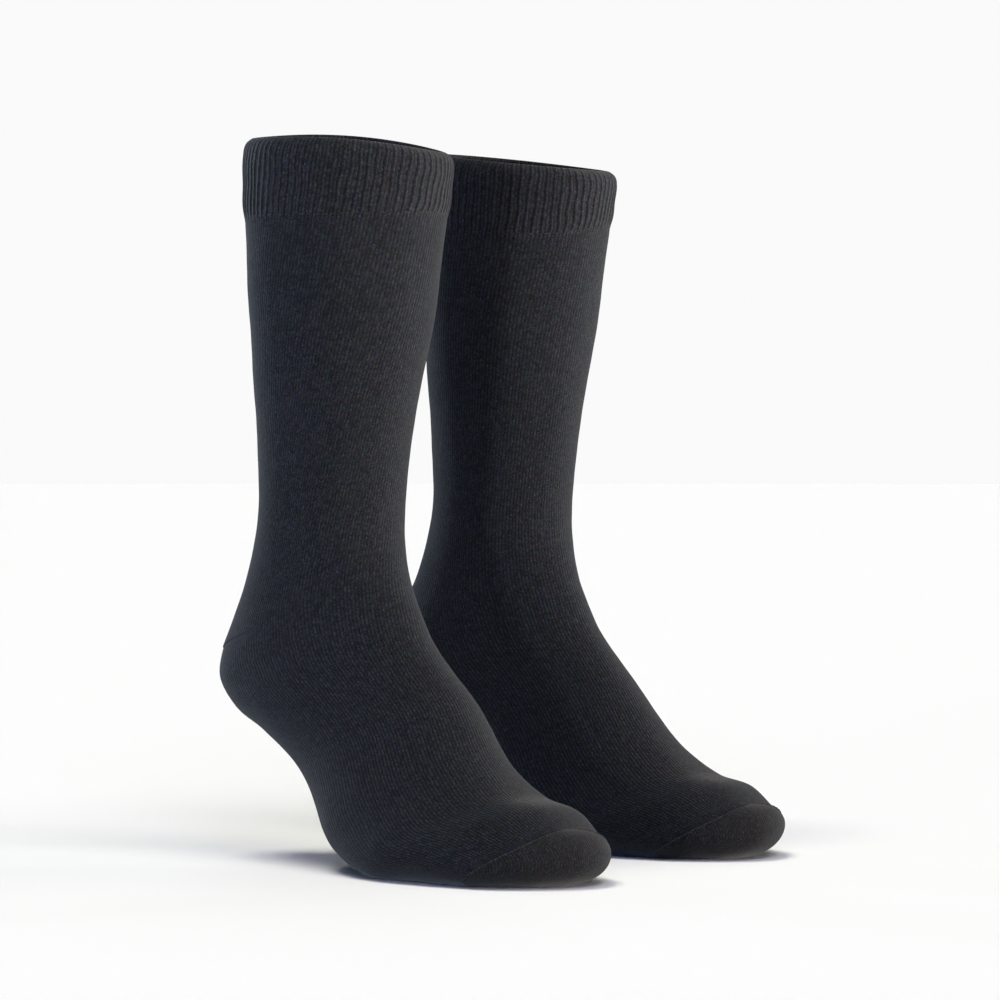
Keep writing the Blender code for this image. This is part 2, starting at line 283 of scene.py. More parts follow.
def knitted(name, panels, material, slot, *nodes):
    """One closed piece of cloth from grids of points, welded where their edges meet.

    A panel is its points (rows, columns, 3) and, for each, its wale and course numbers (rows, columns, 2),
    which go into the UV map knit.
    """
    corners, first = [], 0
    for points, _ in panels:
        rows, columns = points.shape[:2]
        at = first + np.arange(rows * columns).reshape(rows, columns)
        quads = np.stack([at[:-1, :-1], at[:-1, 1:], at[1:, 1:], at[1:, :-1]], axis=-1)
        corners.append(quads.reshape(-1, 4))
        first += rows * columns
    corners = np.concatenate(corners)
    points = np.concatenate([points.reshape(-1, 3) for points, _ in panels])
    marks = np.concatenate([marks.reshape(-1, 2) for _, marks in panels])

    mesh = bpy.data.meshes.new(name)
    mesh.vertices.add(len(points))
    mesh.vertices.foreach_set("co", points.ravel())
    mesh.loops.add(corners.size)
    mesh.loops.foreach_set("vertex_index", corners.ravel())
    mesh.polygons.add(len(corners))
    mesh.polygons.foreach_set("loop_start", np.arange(0, corners.size, 4))
    mesh.update(calc_edges=True)
    mesh.uv_layers.new(name="knit").uv.foreach_set("vector", marks[corners.ravel()].ravel())
    work = bmesh.new()
    work.from_mesh(mesh)
    bmesh.ops.remove_doubles(work, verts=work.verts, dist=WELD * MM)
    bmesh.ops.recalc_face_normals(work, faces=work.faces)
    work.to_mesh(mesh)
    work.free()
    mesh.shade_smooth()
    mesh.set_sharp_from_angle(angle=CUT_EDGE)
    mesh.materials.append(material)

    piece = bpy.data.objects.new(name, mesh)
    bpy.context.scene.collection.objects.link(piece)
    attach(piece, "root")
    if nodes:
        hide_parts(*nodes)
    return piece


def node_group(name, inputs, outputs):
    """An empty shader node group with named sockets, and its input and output nodes."""
    group = bpy.data.node_groups.new(name, "ShaderNodeTree")
    for label, kind in inputs:
        group.interface.new_socket(label, in_out="INPUT", socket_type=kind)
    for label, kind in outputs:
        group.interface.new_socket(label, in_out="OUTPUT", socket_type=kind)
    return group, group.nodes.new("NodeGroupInput"), group.nodes.new("NodeGroupOutput")


def fed(tree, node, *values):
    """A node with these values on its first inputs, each a constant or another node's output."""
    for socket, value in zip(node.inputs, values):
        if isinstance(value, bpy.types.NodeSocket):
            tree.links.new(value, socket)
        else:
            socket.default_value = value
    return node


def maths(tree, operation, a, b=0.0, c=0.0):
    """The output of one Math node."""
    node = tree.nodes.new("ShaderNodeMath")
    node.operation = operation
    return fed(tree, node, a, b, c).outputs[0]


def varied(tree, value, spread, middle=1.0):
    """A value between 0 and 1, stretched to this spread about this middle."""
    return maths(tree, "MULTIPLY_ADD", value, spread, middle - spread / 2)


def vector_maths(tree, operation, *values):
    """One Vector Math node."""
    node = tree.nodes.new("ShaderNodeVectorMath")
    node.operation = operation
    return fed(tree, node, *values)


def noise(tree, place, scale, detail=2.0):
    """A Noise Texture with so many cells to the metre. It is about 0.5 on average."""
    node = tree.nodes.new("ShaderNodeTexNoise")
    node.inputs["Scale"].default_value = scale
    node.inputs["Detail"].default_value = detail
    tree.links.new(place, node.inputs["Vector"])
    return node


LOOP_SWELL = 0.35        # how much of a loop's height comes and goes along it
GAP_NARROWING = 1.5      # 1 makes the gaps as wide as the wales, more makes them narrower
LOOP_SLANT = 0.9         # courses that a loop leans from the edge of its wale to its middle


def knit_loops_group():
    """Rows of V-shaped loops from wale and course numbers.

    Across a wale the height is a raised cosine, from 0 in the gap at each edge to 1 in the middle. The
    gap mask is that cosine turned over, to the power of GAP_NARROWING. Along a leg of the V the height
    swells and falls by half a sine for each loop, and the loops lean towards the wale's middle.
    """
    group, given, made = node_group(
        "knit_loops",
        [
            ("Wale and course", "NodeSocketVector"),
            ("Wander", "NodeSocketFloat"),
        ],
        [
            ("Height", "NodeSocketFloat"),
            ("Gap", "NodeSocketFloat"),
            ("Loop tone", "NodeSocketFloat"),
        ],
    )
    split = group.nodes.new("ShaderNodeSeparateXYZ")
    group.links.new(given.outputs["Wale and course"], split.inputs[0])
    wale = maths(group, "ADD", split.outputs[0], given.outputs["Wander"])
    course = split.outputs[1]
    wave = maths(group, "COSINE", maths(group, "MULTIPLY", wale, 2 * np.pi))
    rise = maths(group, "MULTIPLY_ADD", wave, -0.5, 0.5)
    inwards = maths(group, "MULTIPLY", maths(group, "PINGPONG", wale, 0.5), 2.0)
    slanted = maths(group, "MULTIPLY_ADD", inwards, LOOP_SLANT, course)
    swell = maths(group, "SINE", maths(group, "MULTIPLY", maths(group, "FRACT", slanted), np.pi))
    swollen = maths(group, "MULTIPLY_ADD", swell, LOOP_SWELL, 1 - LOOP_SWELL)
    height = maths(group, "MULTIPLY", rise, swollen)
    group.links.new(height, made.inputs["Height"])
    gap = maths(group, "POWER", maths(group, "MULTIPLY_ADD", wave, 0.5, 0.5), GAP_NARROWING)
    group.links.new(gap, made.inputs["Gap"])

    loop = group.nodes.new("ShaderNodeCombineXYZ")
    group.links.new(maths(group, "FLOOR", wale), loop.inputs[0])
    group.links.new(maths(group, "FLOOR", slanted), loop.inputs[1])
    tone = group.nodes.new("ShaderNodeTexWhiteNoise")
    group.links.new(loop.outputs[0], tone.inputs["Vector"])
    group.links.new(tone.outputs["Value"], made.inputs["Loop tone"])
    return group


FIBRES = 1800.0          # noise cells to the metre
SLUBS = 600.0            # thick and thin places in the yarn
CLOUDS = 38.0
SPECKS = 1500.0
SLUB_SHARE = 0.2         # how much the slubs add to the fibres' contrast
SLUB_WANDER = 0.7        # wales that the slubs shift a wale by
CLOUDINESS = 0.16        # how much the tone differs from cloud to cloud
TINT = 2.7               # how far the specks of yarn differ in red and blue
GREENER = 0.85           # how far they differ in green, as a part of that
LEAST_TINT = 0.1


def spun_yarn_group():
    """The tone, relief, tint and wander of spun yarn from Object coordinates in metres.

    Fine noise stands for the fibres, a coarser one for thick and thin places in the yarn, and a slow one
    for the cloudiness of the cloth. The tone is 2 to the power of contrast times the noise off its mean,
    so single fibres flash lighter. The tint turns each speck a little bluer or redder. The wander shifts
    a wale to and fro by a part of its width.
    """
    group, given, made = node_group(
        "spun_yarn",
        [
            ("Place", "NodeSocketVector"),
            ("Fibre contrast", "NodeSocketFloat"),
        ],
        [
            ("Tone", "NodeSocketFloat"),
            ("Relief", "NodeSocketFloat"),
            ("Tint", "NodeSocketVector"),
            ("Wander", "NodeSocketFloat"),
        ],
    )
    place = given.outputs["Place"]
    fibres = noise(group, place, FIBRES).outputs[0]
    slubs = noise(group, place, SLUBS).outputs[0]
    clouds = noise(group, place, CLOUDS).outputs[0]
    swing = maths(group, "MULTIPLY_ADD", slubs, SLUB_SHARE, fibres)
    swing = maths(group, "SUBTRACT", swing, (1 + SLUB_SHARE) / 2)
    power = maths(group, "MULTIPLY", swing, given.outputs["Fibre contrast"])
    tone = maths(group, "POWER", 2.0, power)
    group.links.new(maths(group, "MULTIPLY", tone, varied(group, clouds, CLOUDINESS)), made.inputs["Tone"])
    group.links.new(fibres, made.inputs["Relief"])
    group.links.new(varied(group, slubs, SLUB_WANDER, 0.0), made.inputs["Wander"])

    specks = noise(group, place, SPECKS, 1.0).outputs["Color"]
    spreads = (TINT, TINT * GREENER, TINT)
    lows = [1 - spread / 2 for spread in spreads]
    tint = vector_maths(group, "MULTIPLY_ADD", specks, spreads, lows)
    tint = vector_maths(group, "MAXIMUM", tint.outputs[0], (LEAST_TINT,) * 3)
    group.links.new(tint.outputs[0], made.inputs["Tint"])
    return group


SPREADS_FROM = DEPTHS[ROW["heel_top"]] / COURSE   # the courses between which the cloth spreads
SPREADS_TO = DEPTHS[ROW["shank"]] / COURSE
SPECULAR = 0.05
SHEEN = 0.07             # fine fuzz that catches light along the edges
SHEEN_ROUGHNESS = 0.4
GAP_ROUGHER = 0.08       # how much rougher the gaps between the wales look
FIBRE_RELIEF = 0.4       # as a part of the loops' height
KNIT_LOOPS = knit_loops_group()
SPUN_YARN = spun_yarn_group()
# A yarn's two gap shades are painted shade: its colour darkened in the gaps between the wales, the second one
# over the foot.
Yarn = namedtuple("Yarn", "colour gap_shade foot_gap_shade loop_contrast fibre_contrast loop_depth roughness")


def yarn_material(name, yarn):
    """Dull spun yarn in loops: painted shade darkens the gaps between the wales, where shade falls in the
    recesses, and each loop is a little lighter or darker.

    Over the foot the cloth is stretched wider, so the painted shade in the gaps between its wales is darker
    there.
    """
    material = bpy.data.materials.new(name)
    material.use_nodes = True
    tree = material.node_tree
    shader = tree.nodes["Principled BSDF"]
    spun = tree.nodes.new("ShaderNodeGroup")
    spun.node_tree = SPUN_YARN
    spun.inputs["Fibre contrast"].default_value = yarn.fibre_contrast
    tree.links.new(tree.nodes.new("ShaderNodeTexCoord").outputs["Object"], spun.inputs["Place"])
    marks = tree.nodes.new("ShaderNodeUVMap")
    marks.uv_map = "knit"
    loops = tree.nodes.new("ShaderNodeGroup")
    loops.node_tree = KNIT_LOOPS
    tree.links.new(marks.outputs[0], loops.inputs["Wale and course"])
    tree.links.new(spun.outputs["Wander"], loops.inputs["Wander"])

    # Painted shade: the colour is darkened in the gaps between the wales, more over the foot than up the leg.
    courses = tree.nodes.new("ShaderNodeSeparateXYZ")
    tree.links.new(marks.outputs[0], courses.inputs[0])
    spread = tree.nodes.new("ShaderNodeMapRange")
    spread.interpolation_type = "SMOOTHSTEP"
    fed(tree, spread, courses.outputs[1], SPREADS_FROM, SPREADS_TO, yarn.gap_shade, yarn.foot_gap_shade)
    painted_gap_darkening = maths(tree, "MULTIPLY", loops.outputs["Gap"], spread.outputs[0])
    shade = maths(tree, "SUBTRACT", 1.0, painted_gap_darkening)
    toned = varied(tree, loops.outputs["Loop tone"], yarn.loop_contrast)
    shade = maths(tree, "MULTIPLY", shade, maths(tree, "MULTIPLY", toned, spun.outputs["Tone"]))
    tinted = vector_maths(tree, "MULTIPLY", spun.outputs["Tint"], yarn.colour)
    colour = vector_maths(tree, "SCALE", tinted.outputs[0])
    tree.links.new(shade, colour.inputs["Scale"])
    tree.links.new(colour.outputs[0], shader.inputs["Base Color"])
    rough = maths(tree, "MULTIPLY_ADD", loops.outputs["Gap"], GAP_ROUGHER, yarn.roughness)
    tree.links.new(rough, shader.inputs["Roughness"])

    bump = tree.nodes.new("ShaderNodeBump")
    bump.inputs["Strength"].default_value = 1.0
    bump.inputs["Distance"].default_value = yarn.loop_depth * MM
    relief = maths(tree, "MULTIPLY_ADD", spun.outputs["Relief"], FIBRE_RELIEF, loops.outputs["Height"])
    tree.links.new(relief, bump.inputs["Height"])
    tree.links.new(bump.outputs[0], shader.inputs["Normal"])
    shader.inputs["Specular IOR Level"].default_value = SPECULAR
    shader.inputs["Sheen Weight"].default_value = SHEEN
    shader.inputs["Sheen Roughness"].default_value = SHEEN_ROUGHNESS
    return material


RIB_RELIEF = 0.42        # from the top of a rib to the sunk wale beside it
RIB_FULLNESS = 0.6       # 1 makes ribs and furrows alike, less makes the ribs fuller
RIB_COLUMNS = 8          # grid columns for each rib
RIB_WANDER = 0.20        # wales that a rib strays to either side
WANDER_FADE = 0.1        # of the cuff's height, over which they start to stray
CUFF_YARN = Yarn((0.0122, 0.0128, 0.0150), 0.56, 0.56, 0.6, 4.2, 0.16, 0.90)

# Sways of the ribs round the cuff: how many, radians that they shift from the join to the rim, how strong
Sway = namedtuple("Sway", "count shift strength")
LONG_SWAY = Sway(7, 9.0, 1.0)
SHORT_SWAY = Sway(19, -5.0, 0.5)
SWAY_REVERSAL = 4.1      # radians from the join to the rim, as the long sway comes and goes

# The cuff's profile from the join up its outside, over the folded rim and down its inside: part of its
# height, millimetres outside the leg's line and above the rim ring, and how deep the ribs are
Profile = namedtuple("Profile", "up proud above ribs")
CUFF_PROFILE = (
    Profile(0.000,  0.1, 0.0, 0.10),
    Profile(0.040,  0.3, 0.0, 0.30),
    Profile(0.070,  0.5, 0.0, 0.90),
    Profile(0.120,  0.8, 0.0, 1.10),
    Profile(0.450,  1.0, 0.0, 1.15),
    Profile(0.800,  1.0, 0.0, 1.00),
    Profile(0.890,  0.4, 0.0, 0.90),
    Profile(0.950, -0.8, 0.0, 0.80),
    Profile(0.985, -2.5, 0.0, 0.70),
    Profile(1.000, -4.2, 0.3, 0.60),
    Profile(1.000, -5.4, 0.3, 0.50),
    Profile(0.985, -5.9, 0.0, 0.50),
    Profile(0.950, -4.6, 0.0, 0.50),
    Profile(0.890, -2.6, 0.0, 0.50),
    Profile(0.800, -1.4, 0.0, 0.50),
    Profile(0.400, -1.2, 0.0, 0.50),
    Profile(0.000, -1.4, 0.0, 0.35),
)
CUFF_HEIGHT = 40.0
CUFF_STEP = 0.9          # millimetres from one grid row to the next


def cuff_profile_points():
    """Points every CUFF_STEP millimetres along the smooth curve through CUFF_PROFILE."""
    knots = np.array(CUFF_PROFILE)
    across = np.diff(knots[:, :3], axis=0) * (CUFF_HEIGHT, 1.0, 1.0)
    lengths = np.concatenate([[0.0], np.cumsum(np.linalg.norm(across, axis=1))])
    count = int(lengths[-1] / CUFF_STEP)
    return lengths[-1], through(lengths, knots, np.linspace(0.0, lengths[-1], count + 1))


def ribs_stray(turn, up, side):
    """How far the ribs stray, in RIB_WANDERs: a long sine wave round the cuff and a short one.

    The long one comes and goes with the height, by a sine too.
    """
    long_wave = np.sin(LONG_SWAY.count * turn + LONG_SWAY.shift * up * side)
    short_wave = np.sin(SHORT_SWAY.count * turn + SHORT_SWAY.shift * up)
    comes_and_goes = np.sin(SWAY_REVERSAL * up + side)
    return LONG_SWAY.strength * long_wave * comes_and_goes + SHORT_SWAY.strength * short_wave


def cuff_panels(name):
    """The cuff as one sheet rolled over its rim.

    Each point lies on the leg's line, moved out by the profile and in by the rib's relief. A rib's
    section is half a raised cosine to the power of RIB_FULLNESS.
    """
    side = SIDES[name]
    length, profile = cuff_profile_points()
    up, proud, above, ribs = profile[..., None]
    wale = np.linspace(0.0, WALES, WALES // 2 * RIB_COLUMNS + 1)[None, :]
    wale_width = 2 * np.pi / WALES
    stray = RIB_WANDER * ribs_stray(wale * wale_width, up, side) * eased(up / WANDER_FADE)
    row = 1.0 - up
    angle = wale_angles(row[:, 0], wale, name) + stray * wale_width
    ridge = (0.5 + 0.5 * np.cos(np.pi * (wale - 0.5))) ** RIB_FULLNESS
    face = sock_face(row, angle, side)
    out = proud + RIB_RELIEF * ribs * (ridge - 1.0) + unevenness(face)
    points = face + outward(row, angle, side) * out[..., None]
    points[..., 2] += above
    course = np.linspace(0.0, length / COURSE, len(up))[:, None]
    marks = np.stack(np.broadcast_arrays(wale, -course), axis=-1)
    bottom = [np.stack([x[-1], x[0]]) for x in (points, marks)]
    return [(standing(points, name), marks), (standing(bottom[0], name), bottom[1])]


cuff_yarn = yarn_material("rib_knit_charcoal", CUFF_YARN)
for name in SIDES:
    cuff = knitted(f"{name}_rib_cuff", cuff_panels(name), cuff_yarn, "rib_knit", f"{name}_cuff")

# ---- Legs and feet ----
# One tube of plain single knit runs from the cuff to the toes. At the ankle its back half stops for the
# heel pocket and starts again under it, while the front half knits straight on over the instep.

WALL = 1.4
HEEL_RINGS = 2.2         # rings that the heel pocket takes up at the middle of the sole
SEAM_FORWARD = 0.13      # how far the toe seam runs ahead of the toe end down each flank, in rings
SEAM_REACH = np.radians(118)  # from the top of the toes to where the seam is back at the toe end
TUBE_COLUMNS = 288
TUBE_STEP = 2.0          # millimetres from one grid row to the next
INSIDE_STEP = 7.0
CREASE = 0.4             # how far the leg stands over the edge of the heel pocket
CREASE_REACH = 3.0       # millimetres up the leg
CREASE_END = 0.05        # cosine of the angle from the back at which the crease has run out
CREASE_FADE = 0.3        # cosines over which it runs out
SHARE_ROWS = np.linspace(0.0, LAST_ROW + 0.9, 160)   # where the rings' outlines are measured
SHARES = {name: outline_shares(SHARE_ROWS, side) for name, side in SIDES.items()}
PLAIN_YARN = Yarn((0.0098, 0.0106, 0.0128), 0.36, 0.56, 0.6, 4.3, 0.10, 0.90)


def toe_seam(angle):
    """The row of the toe seam: the toe end, and half a sine further forward down each flank."""
    from_top = np.minimum(np.abs(angle - np.pi) / SEAM_REACH, 1.0)
    return LAST_ROW + SEAM_FORWARD * np.sin(np.pi * from_top)


def heel_edge(angle):
    """The row where the sole starts again under the heel pocket, a cosine that ends at the ankle's sides."""
    return ROW["gore"] + HEEL_RINGS * np.maximum(np.cos(angle), 0.0)


def between(table, row, column):
    """A table's value between its whole rows and columns, in proportion to each."""
    top = np.clip(row.astype(int), 0, table.shape[0] - 2)
    left = np.clip(column.astype(int), 0, table.shape[1] - 2)
    u, v = row - top, column - left
    upper = (1 - v) * table[top, left] + v * table[top, left + 1]
    lower = (1 - v) * table[top + 1, left] + v * table[top + 1, left + 1]
    return (1 - u) * upper + u * lower


def knit_marks(row, angle, name):
    """The wale and course number at each place of the face: wale_angles solved the other way round.

    The angle, turned by the knitting's turn, gives the share of the ring's outline, and the share gives
    the wale. Courses are counted down the sock's middle line.
    """
    turn, instep = lie(row, name)
    rounds = np.floor((angle + turn) / (2 * np.pi))
    degree = np.degrees(angle + turn) - 360 * rounds
    share = between(SHARES[name], row / SHARE_ROWS[1], degree)
    off = np.abs(share - 0.5)
    quarters = np.where(off <= instep, off / instep, 1 + (off - instep) / (0.5 - instep))
    wale = FRONT_WALE + SIDE_WALES * np.sign(share - 0.5) * quarters + WALES * rounds
    return np.stack([wale, np.interp(row, ROWS, DEPTHS) / COURSE], axis=-1)


def cloth_point(row, angle, side, out):
    """A point of the face moved along its outward direction by so many millimetres."""
    return sock_face(row, angle, side) + outward(row, angle, side) * out[..., None]


def across_heel(angle):
    """1 round the back, fading to 0 by an S-curve before the sides of the ankle."""
    return eased((np.cos(angle) - CREASE_END) / CREASE_FADE)


def crease(row, angle):
    """How far the leg's cloth stands out over the heel pocket, fading up the leg by an exponential."""
    above = (ROW["gore"] - row) * (DEPTHS[ROW["gore"]] - DEPTHS[ROW["heel_top"]])
    return CREASE * across_heel(angle) * np.exp(-np.maximum(above, 0.0) / CREASE_REACH)


def tube_part(row, angle, name, part, inside):
    """The outer or the inner face of the tube on a grid of rows and angles."""
    side = SIDES[name]
    if inside:
        return standing(cloth_point(row, angle, side, -WALL + 0.0 * row), name, WALL)
    out = unevenness(sock_face(row, angle, side))
    if part == "leg":
        out = out + crease(row, angle)
    return standing(cloth_point(row, angle, side, out), name)


def tube_panels(name):
    """Leg and foot, outside and inside, with narrow rims at the cuff, at the toe seam and round the heel.

    The foot's rings start on the heel's edge and are measured as shares of the way to the toe seam.
    """
    share = np.linspace(0.0, 1.0, TUBE_COLUMNS + 1)
    panels, edges = [], {}
    for inside in (False, True):
        spacing = INSIDE_STEP if inside else TUBE_STEP
        for part, first, last in (("leg", ROW["join"], ROW["gore"]), ("foot", ROW["gore"], LAST_ROW)):
            ring = rows_between(first, last, spacing)
            angle = angles_at(ring, share, SIDES[name])
            row = ring[:, None] + 0.0 * angle
            if part == "foot":
                start = heel_edge(angle)
                row = start + (row - first) / (last - first) * (toe_seam(angle) - start)
            marks = knit_marks(row, angle, name)
            points = tube_part(row, angle, name, part, inside)
            panels.append((points, marks))
            edges[part, inside] = (points[[0, -1]], marks[[0, -1]])
    whole = (share >= 0.0,)
    back = (share <= 0.25, share >= 0.75)
    for part, end, spans in (("leg", 0, whole), ("leg", 1, back), ("foot", 0, back), ("foot", 1, whole)):
        for span in spans:
            faces = zip(edges[part, False], edges[part, True])
            panels.append(tuple(np.stack([outer[end][span], inner[end][span]]) for outer, inner in faces))
    return panels


plain_yarn = yarn_material("plain_knit_charcoal", PLAIN_YARN)
for name in SIDES:
    nodes = (f"{name}_leg", f"{name}_foot")
    tube = knitted(f"{name}_leg_and_foot", tube_panels(name), plain_yarn, "plain_knit", *nodes)

# ---- Heel pockets ----
# The heel is a pocket knitted to and fro on the back half of the needles, with a second, stronger yarn,
# so it is closer. Its upper edge shows as a fine line across the back of the ankle.

POCKET_YARN = Yarn((0.0098, 0.0108, 0.0130), 0.16, 0.16, 0.5, 4.0, 0.05, 0.90)
HEEL_BANDS = 29
CROWDING = 1.5           # 1 spaces the bands evenly, more crowds them towards the upper edge
SUNK = 0.25              # how far the pocket's upper edge lies under the leg's line
SUNK_SHARE = 0.08        # of the way down the pocket, over which it rises to that line


def heel_panels(name):
    """The pocket between the gore ring and the heel's edge, over the leg's own columns.

    Its bands lie at even shares of the way down to the power of CROWDING.
    """
    side = SIDES[name]
    share = np.arange(-TUBE_COLUMNS // 4, TUBE_COLUMNS // 4 + 1) / TUBE_COLUMNS
    angle = angles_at(np.array([float(ROW["gore"])]), share % 1.0, side)
    angle = (angle + np.pi) % (2 * np.pi) - np.pi
    down = np.linspace(0.0, 1.0, HEEL_BANDS + 1)[:, None] ** CROWDING
    row = ROW["gore"] + down * (heel_edge(angle) - ROW["gore"])
    angle = angle + 0.0 * row
    sunk = SUNK * (1 - eased(down / SUNK_SHARE)) * across_heel(angle)
    out = unevenness(sock_face(row, angle, side)) - sunk
    points = standing(cloth_point(row, angle, side, out), name)
    lining = standing(cloth_point(row, angle, side, -WALL + 0.0 * row), name)
    marks = knit_marks(row, angle, name)
    rims = [(np.stack([points[end], lining[end]]), marks[[end, end]]) for end in (0, -1)]
    return [(points, marks), (lining, marks), *rims]


pocket_yarn = yarn_material("pocket_knit_charcoal", POCKET_YARN)
for name in SIDES:
    heel = knitted(f"{name}_heel_pocket", heel_panels(name), pocket_yarn, "pocket_knit", f"{name}_heel")

# ---- Toe pockets ----
# The toe is knitted like the heel. Its wales run on from the sole round the tip and back over the toes,
# where each one is linked to a wale of the instep.

TOE_YARN = Yarn((0.0104, 0.0104, 0.0112), 0.34, 0.34, 0.5, 4.0, 0.10, 0.90)
TOE_COLUMNS = 144
TOE_BANDS = 64
SEAM_END = np.radians(124)  # from the top of the toes to each end of the seam


def toe_face(across, up, side):
    """The toe's outer face over the unit disc, whose rim is the toe end and whose middle is the nose.

    A point's distance from the disc's middle gives how far its slice has shrunk. Solving narrowed for
    the run then gives how far it has run on.
    """
    shrink = np.hypot(across, up)
    gone = np.maximum(1.0 - shrink ** 2, 0.0)
    run = (np.sqrt(NOSE_TAPER ** 2 + 4 * (1 - NOSE_TAPER) * gone) - NOSE_TAPER) / (2 * (1 - NOSE_TAPER))
    safe = np.maximum(shrink, 1e-9)
    sideways = squared(across / safe, RINGS[-1].square)
    upwards = squared(up / safe, RINGS[-1].square)
    return slice_face(TABLE[-1], run, shrink, sideways, -upwards, side)


def toe_outward(across, up, side):
    """The toe's outward direction, from slopes over the disc taken just inside its rim."""
    step = DERIVATIVE_STEP
    across, up = across * (1 - 2 * step), up * (1 - 2 * step)
    right = toe_face(across + step, up, side) - toe_face(across - step, up, side)
    upward = toe_face(across, up + step, side) - toe_face(across, up - step, side)
    return unit(np.cross(right, upward))


def on_disc(angle):
    """Where the toe seam lies on the disc at an angle round the toe."""
    out = narrowed(np.sin((toe_seam(angle) - LAST_ROW) * np.pi / 2))
    return np.stack([out * np.sin(angle), -out * np.cos(angle)])


def toe_panels(name):
    """The pocket's outer and inner faces over the disc, closed along the toe end.

    Each column is a straight chord, from a place on the seam to the place that faces it under the toes.
    """
    side = SIDES[name]
    from_top = np.linspace(-SEAM_END, SEAM_END, TOE_COLUMNS + 1)[None, :]
    top = on_disc(np.pi + from_top)
    bottom = on_disc(from_top / SEAM_END * (SEAM_END - np.pi))
    share = (1 - np.cos(np.linspace(0.0, np.pi, TOE_BANDS + 1)))[:, None] / 2
    across, up = top + share * (bottom - top)
    face = toe_face(across, up, side)
    out = toe_outward(across, up, side)
    shown = face + out * unevenness(face)[..., None]
    lining = face - out * WALL
    along = np.linalg.norm(np.diff(face, axis=0), axis=-1).cumsum(axis=0) / COURSE
    start = knit_marks(toe_seam(np.pi + from_top), np.pi + from_top, name)
    marks = start + np.stack([0.0 * up, np.pad(along, ((1, 0), (0, 0)))], axis=-1)
    shown, lining = standing(shown, name), standing(lining, name, WALL)
    rims = [(np.stack([shown[end], lining[end]]), marks[[end, end]]) for end in (0, -1)]
    return [(shown, marks), (lining, marks), *rims]


toe_yarn = yarn_material("toe_knit_charcoal", TOE_YARN)
for name in SIDES:
    toe = knitted(f"{name}_toe_pocket", toe_panels(name), toe_yarn, "pocket_knit", f"{name}_toe")

# ---- Linked seams ----
# The toe is closed by linking: a chain of small loops picks up one wale of the instep and one of the toe
# at a time, and stands over the toes as a fine beaded ridge. A flatter chain edges the foot of the cuff.

SEAM_YARN = Yarn((0.0140, 0.0144, 0.0152), 0.0, 0.0, 0.9, 4.0, 0.12, 0.90)
Chain = namedtuple("Chain", "radius neck lift wales_per_bead")
TOE_CHAIN = Chain(0.52, 0.40, 0.15, 1.0)
CUFF_CHAIN = Chain(0.60, 0.15, 0.00, 2.0)
CHAIN_RISE = 0.055       # of the cuff's height
BEAD_COLUMNS = 6         # grid columns for each bead
TOE_BEADS = 100          # about how many lie along each toe seam
BEAD_UNEVENNESS = 0.25   # half the difference between the largest beads and the smallest
BEAD_SWAY = 29 / 76 * 2 * np.pi  # the beads grow and shrink 29 times in the 76 of one round
CHAIN_SIDES = 8
SEAM_TAPER = 0.15        # radians over which each end of the toe seam tapers off


def linked_chain(name, chain, edge, angle, ends):
    """A thin tube along an edge of the cloth, swollen once for each bead, and a point where ends is 0.

    Its radius is the neck's between two beads, and rises from there by half a sine for each bead.
    """
    side = SIDES[name]
    middle = sock_face(edge(angle), angle, side)
    before, after = angle - DERIVATIVE_STEP, angle + DERIVATIVE_STEP
    along = sock_face(edge(after), after, side) - sock_face(edge(before), before, side)
    out = outward(edge(angle), angle, side)
    across = unit(np.cross(along, out))
    bead = knit_marks(edge(angle), angle, name)[..., 0] / chain.wales_per_bead
    uneven = 1 - BEAD_UNEVENNESS + BEAD_UNEVENNESS * np.sin(BEAD_SWAY * np.floor(bead))
    swollen = uneven * np.abs(np.sin(np.pi * bead))
    radius = chain.radius * (chain.neck + (1 - chain.neck) * swollen) * ends
    turn = np.linspace(0.0, 2 * np.pi, CHAIN_SIDES + 1)[:, None]
    lifted = middle + out * (chain.lift * ends)[..., None]
    points = lifted + out * (radius * np.cos(turn))[..., None] + across * (radius * np.sin(turn))[..., None]
    marks = np.stack([0.5 + 0.0 * turn * bead, turn / np.pi + bead], axis=-1)
    return [(standing(points, name), marks)]


def above_join(angle):
    """The row where the last course of the ribs stands out, a little above the join."""
    return ROW["join"] - CHAIN_RISE + 0.0 * angle


seam_yarn = yarn_material("linking_yarn_charcoal", SEAM_YARN)
for name in SIDES:
    from_top = np.linspace(-SEAM_END, SEAM_END, TOE_BEADS * BEAD_COLUMNS + 1)[None, :]
    tapered = np.sqrt(np.clip((SEAM_END - np.abs(from_top)) / SEAM_TAPER, 0.0, 1.0))
    beads = linked_chain(name, TOE_CHAIN, toe_seam, np.pi + from_top, tapered)
    knitted(f"{name}_toe_seam", beads, seam_yarn, "pocket_knit")
    ring = np.linspace(0.0, 2 * np.pi, WALES // 2 * BEAD_COLUMNS + 1)[None, :]
    beads = linked_chain(name, CUFF_CHAIN, above_join, ring, np.ones_like(ring))
    knitted(f"{name}_cuff_seam", beads, seam_yarn, "rib_knit")

# ---- Floor, light and camera ----
# The pair stands on a plain pale floor in a plain bright studio. Narrow panels stand low down round it,
# the strongest and warmest on the right and cooler ones on the left, and four wide ones hang above.

STAGE_RADIUS = 14.0      # metres
PALE = 0.88
BRIGHT = 0.955
level = (0.0, 0.0, -ANKLE_HEIGHT * MM)
bpy.ops.mesh.primitive_circle_add(vertices=96, radius=STAGE_RADIUS, fill_type="NGON", location=level)
floor = bpy.context.object
floor.name = "studio_floor"
paint = bpy.data.materials.new("pale_floor")
paint.use_nodes = True
matt = paint.node_tree.nodes["Principled BSDF"]
matt.inputs["Base Color"].default_value = (PALE, PALE, PALE, 1.0)
matt.inputs["Roughness"].default_value = 0.95
matt.inputs["Specular IOR Level"].default_value = 0.0
floor.data.materials.append(paint)

